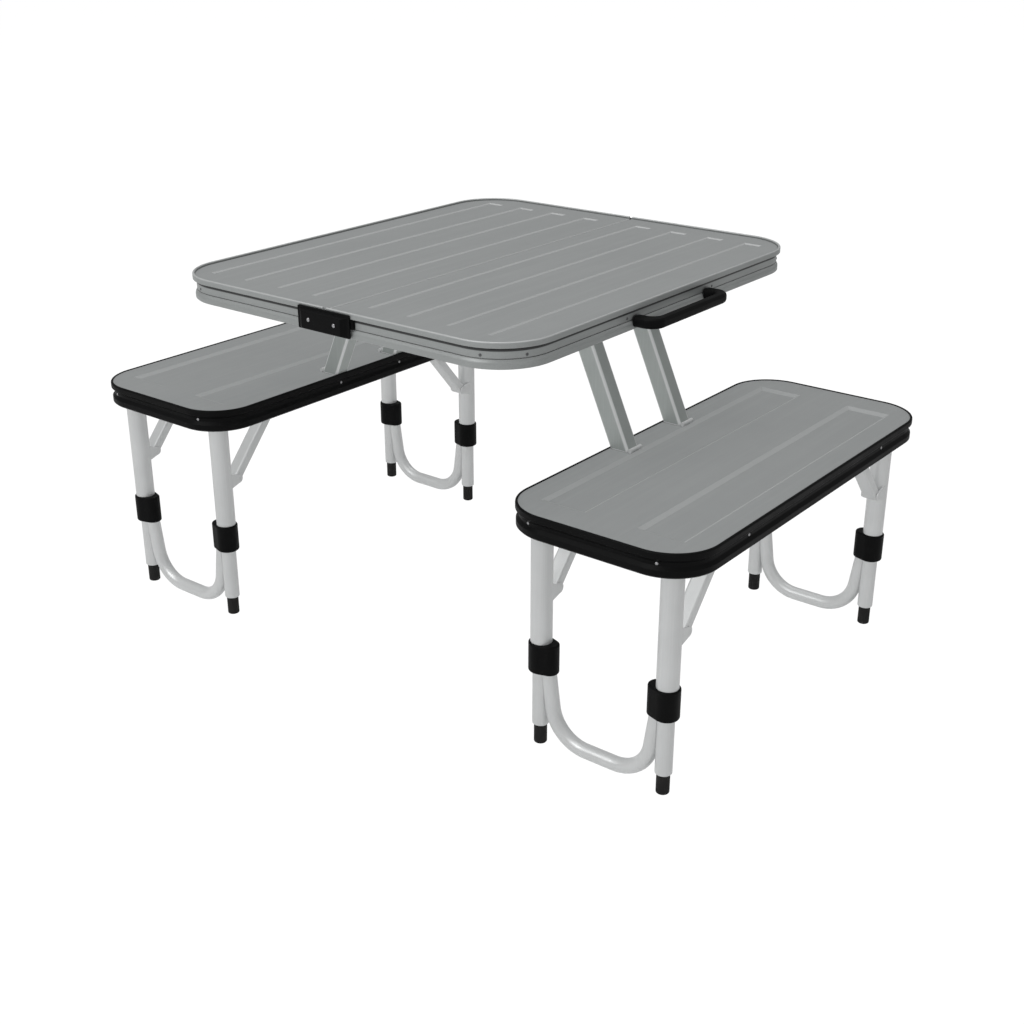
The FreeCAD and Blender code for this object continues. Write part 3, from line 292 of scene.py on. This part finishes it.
def strut_metal(name):
    """Greenish satin strut whose rounded corners carry a painted highlight along their whole length."""
    n = Nodes(name)
    rounded = n.rounded_normal(1.0 * MILLIMETRE)
    # Painted highlight on the rounded corners between the front and back faces and the side faces
    side = n.math("ABSOLUTE", n.normal_part("Y"))
    corner = n.times(n.spread(side, low=0.03, high=0.25),
                     n.spread(side, low=0.90, high=0.995, to_low=1.0, to_high=0.0))
    cloud = n.noise(scale=9.0, detail=3.0, rough=0.6)
    drawn = n.noise(scale=1.0, detail=3.0, rough=0.65, vector=n.stretched(DRAWN_ALONG_Z))
    scuff = n.noise(scale=140.0, detail=4.0, rough=0.7)
    colour = n.blend(n.spread(cloud, low=0.35, high=0.68, to_high=0.6), STRUT_SILVER, STRUT_DULL)
    colour = n.blend(n.spread(drawn, low=0.48, high=0.72, to_high=0.12), colour, STRUT_BRIGHT)
    colour = n.blend(n.spread(scuff, low=0.62, high=0.80, to_high=0.25), colour, STRUT_DULL)
    # Lays the painted corner highlight
    colour = n.blend(n.times(corner, 0.85), colour, STRUT_BRIGHT)
    colour = n.blend(n.times(n.edges(rounded), 0.5), colour, STRUT_BRIGHT)
    roughness = n.spread(n.plus(cloud, drawn), low=0.7, high=1.3, to_low=0.36, to_high=0.50)
    normal = n.bump(drawn, depth=0.03 * MILLIMETRE, normal=rounded)
    return n.finish(colour, roughness, normal, metal=0.25)


def moulded_plastic(name, tones, grain_scale, grain_depth, rough, specular):
    """Dark plastic or rubber in three tones (base, dusty, worn): leathery grain, greyed edges."""
    base, dusty, worn = tones
    n = Nodes(name)
    rounded = n.rounded_normal(1.0 * MILLIMETRE)
    cloud = n.noise(scale=14.0, detail=4.0, rough=0.6)
    grain = n.cells(scale=grain_scale)
    fine = n.noise(scale=grain_scale * 2.3, detail=2.0, rough=0.6)
    colour = n.blend(n.spread(cloud, low=0.42, high=0.72, to_high=0.8), base, dusty)
    colour = n.blend(n.spread(fine, low=0.60, high=0.82, to_high=0.35), colour, dusty)
    colour = n.blend(n.times(n.edges(rounded), 0.45), colour, worn)
    roughness = n.spread(n.plus(cloud, n.times(fine, 0.5)), low=0.5, high=1.1,
                         to_low=rough - 0.08, to_high=rough + 0.10)
    height = n.plus(n.times(grain, 0.75), n.times(fine, 0.25))
    normal = n.bump(height, depth=grain_depth, normal=rounded)
    return n.finish(colour, roughness, normal, specular=specular)


def slot_materials():
    """One material for each of the record's slots."""
    return {
        "sheet": pebbled_sheet("pebbled_sheet"),
        "aluminium": satin_metal("rim_aluminium", (RIM_ALUMINIUM, RIM_BRIGHT, RIM_DULL),
                                 DRAWN_ALONG_Y, metal=0.25, rough=0.44, worn=0.65, marks=rim_highlight_and_shade),
        "tube": satin_metal("tube_silver", (TUBE_SILVER, TUBE_BRIGHT, TUBE_DULL),
                            DRAWN_ALONG_Z, metal=0.30, rough=0.36, worn=0.45),
        "black_plastic": moulded_plastic("black_plastic", (PLASTIC_BLACK, PLASTIC_DUSTY, PLASTIC_WORN),
                                         grain_scale=900.0, grain_depth=0.09 * MILLIMETRE,
                                         rough=0.48, specular=0.07),
        "rivet": satin_metal("rivet_steel", (STEEL_GREY, STEEL_BRIGHT, STEEL_DULL),
                             TURNED, metal=0.75, rough=0.34, worn=0.6),
        "dark_rivet": satin_metal("dark_rivet_steel", (RIVET_DARK, RIVET_DARK_BRIGHT, RIVET_DARK_DULL),
                                  TURNED, metal=0.40, rough=0.40, worn=0.3),
        "steel": satin_metal("plain_steel", (STEEL_GREY, STEEL_BRIGHT, STEEL_DULL),
                             TURNED, metal=0.80, rough=0.38, worn=0.5),
        "rubber": moulded_plastic("foot_rubber", (RUBBER_BLACK, RUBBER_DUSTY, RUBBER_WORN),
                                  grain_scale=520.0, grain_depth=0.16 * MILLIMETRE,
                                  rough=0.74, specular=0.20),
    }


def paint_frame(frame):
    """Gives every CAD node the material of its slot in the record; the struts have their own."""
    materials = slot_materials()
    struts = strut_metal("strut_silver")
    for part in frame["record"]["subparts"]:
        name = part["node"]
        material = struts if name.startswith("struts_") else materials[part["material_slot"]]
        node = frame["nodes"][name]
        node.data.materials.clear()
        node.data.materials.append(material)


# ---------------------------------------------------------------- stage

def floor():
    """Plain pale floor, evenly bright."""
    half = FLOOR_SIZE / 2
    mesh = bpy.data.meshes.new("floor")
    corners = [(-half, -half, 0), (half, -half, 0), (half, half, 0), (-half, half, 0)]
    mesh.from_pydata(corners, [], [(0, 1, 2, 3)])
    plane = bpy.data.objects.new("floor", mesh)
    bpy.context.scene.collection.objects.link(plane)
    plane.location.z = -FLOOR_DROP
    n = Nodes("floor")
    matt = n.add("ShaderNodeBsdfDiffuse")
    n.feed(matt, "Color", FLOOR_PALE)
    glow = n.add("ShaderNodeEmission")
    n.feed(glow, "Strength", FLOOR_WHITE)
    seen = n.add("ShaderNodeLightPath").outputs["Is Camera Ray"]
    mix = n.add("ShaderNodeMixShader")
    n.feed(mix, 0, n.times(seen, FLOOR_GLOW))
    n.feed(mix, 1, matt.outputs["BSDF"])
    n.feed(mix, 2, glow.outputs["Emission"])
    output = n.add("ShaderNodeOutputMaterial")
    n.tree.links.new(mix.outputs["Shader"], output.inputs["Surface"])
    mesh.materials.append(n.material)


def area_light(name, place, size, power):
    """Square soft light aimed at the middle of the table, too diffuse to cast a shadow."""
    data = bpy.data.lights.new(name, "AREA")
    data.size = size
    data.energy = power
    data.use_shadow = False
    lamp = bpy.data.objects.new(name, data)
    bpy.context.scene.collection.objects.link(lamp)
    lamp.location = place
    aim = Vector(LIGHT_AIM) - Vector(place)
    lamp.rotation_euler = aim.to_track_quat("-Z", "Y").to_euler()


def light():
    """White surroundings to the eye, dimmer as a light, and three soft lamps."""
    world = bpy.data.worlds.new("studio")
    world.use_nodes = True
    tree = world.node_tree
    background = tree.nodes["Background"]
    background.inputs["Color"].default_value = (1.0, 1.0, 1.0, 1.0)
    seen = tree.nodes.new("ShaderNodeLightPath").outputs["Is Camera Ray"]
    strength = tree.nodes.new("ShaderNodeMapRange")
    strength.inputs["To Min"].default_value = SKY_STRENGTH
    strength.inputs["To Max"].default_value = 1.0
    tree.links.new(seen, strength.inputs["Value"])
    tree.links.new(strength.outputs["Result"], background.inputs["Strength"])
    bpy.context.scene.world = world
    area_light("key", KEY_PLACE, KEY_SIZE, KEY_POWER)
    area_light("top", TOP_PLACE, TOP_SIZE, TOP_POWER)
    area_light("fill", FILL_PLACE, FILL_SIZE, FILL_POWER)
    bpy.context.scene.view_settings.view_transform = "Standard"


def camera():
    data = bpy.data.cameras.new("camera")
    data.lens = CAMERA_LENS
    data.sensor_width = CAMERA_SENSOR
    eye = bpy.data.objects.new("camera", data)
    bpy.context.scene.collection.objects.link(eye)
    eye.location = CAMERA_PLACE
    eye.rotation_euler = [math.radians(a) for a in CAMERA_TURN]
    bpy.context.scene.camera = eye


# ---------------------------------------------------------------- scene

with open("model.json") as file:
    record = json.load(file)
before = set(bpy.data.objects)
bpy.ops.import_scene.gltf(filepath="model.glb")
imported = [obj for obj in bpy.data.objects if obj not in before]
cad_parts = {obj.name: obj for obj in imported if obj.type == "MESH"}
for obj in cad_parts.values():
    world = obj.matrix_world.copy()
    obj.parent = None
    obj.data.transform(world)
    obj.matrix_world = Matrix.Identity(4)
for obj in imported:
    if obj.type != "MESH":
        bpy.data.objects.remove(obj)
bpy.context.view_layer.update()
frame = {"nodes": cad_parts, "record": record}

paint_frame(frame)
floor()
light()
camera()
